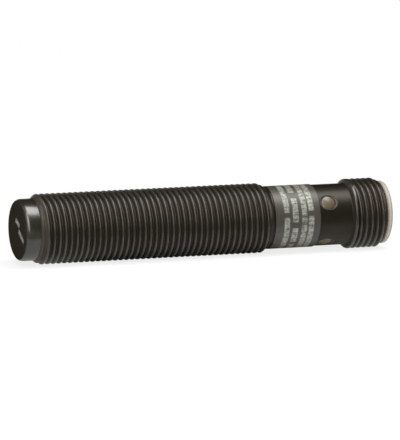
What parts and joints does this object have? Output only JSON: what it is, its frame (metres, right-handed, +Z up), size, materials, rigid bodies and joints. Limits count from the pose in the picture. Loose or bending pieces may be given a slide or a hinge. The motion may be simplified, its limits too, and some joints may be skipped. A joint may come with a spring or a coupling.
{
  "type": "inductive proximity sensor",
  "caption": "Tubular inductive proximity sensor: black threaded barrel, flat sensing cap, wrapped label, lamp windows and a threaded plug end with contact pins.",
  "frame": {"origin": "centre of the sensing face, on the barrel's axis", "axes": "+X along the barrel's axis from the sensing face to the plug end; +Z up; -Y is the side the picture shows"},
  "size_m": [0.0657, 0.0118, 0.0118],
  "materials": {
    "black_coated_metal": "satin black coating on turned metal",
    "black_plastic": "smooth moulded, half gloss",
    "cream_plastic": "moulded, matte",
    "amber_plastic": "tinted, glossy",
    "silver_foil": "silvered film",
    "black_rubber": "matte",
    "ferrite": "dull sintered grey",
    "natural_plastic": "unpainted moulded",
    "copper": "enamelled copper wire",
    "gold_plate": "gold plated",
    "board_green": "solder resist",
    "chip_epoxy": "moulded epoxy",
    "ceramic_brown": "fired ceramic",
    "diode_glass": "tinted glass",
    "lamp_resin": "clear tinted resin",
    "wire_sleeve": "insulated wire"
  },
  "bodies": {
    "root": {"barrel": "black_coated_metal", "front_cap": "black_plastic", "cap_seal": "black_rubber", "ferrite_core": "ferrite", "coil_bobbin": "natural_plastic", "coil_winding": "copper", "coil_lead_1": "copper", "coil_lead_2": "copper", "core_holder": "natural_plastic", "circuit_board": "board_green", "detector_chip": "chip_epoxy", "output_transistor": "chip_epoxy", "filter_capacitor": "ceramic_brown", "trim_resistor": "chip_epoxy", "surge_diode": "diode_glass", "status_lamp_1": "lamp_resin", "status_lamp_2": "lamp_resin", "status_lamp_3": "lamp_resin", "status_lamp_4": "lamp_resin", "lamp_window_1": "amber_plastic", "lamp_window_2": "amber_plastic", "lamp_window_3": "amber_plastic", "lamp_window_4": "amber_plastic", "label": "silver_foil", "connector_insert": "cream_plastic", "insert_seal": "black_rubber", "contact_pin_1": "gold_plate", "contact_pin_2": "gold_plate", "contact_pin_3": "gold_plate", "contact_pin_4": "gold_plate", "lead_wire_1": "wire_sleeve", "lead_wire_2": "wire_sleeve", "lead_wire_3": "wire_sleeve", "lead_wire_4": "wire_sleeve"}
  },
  "joints": []
}
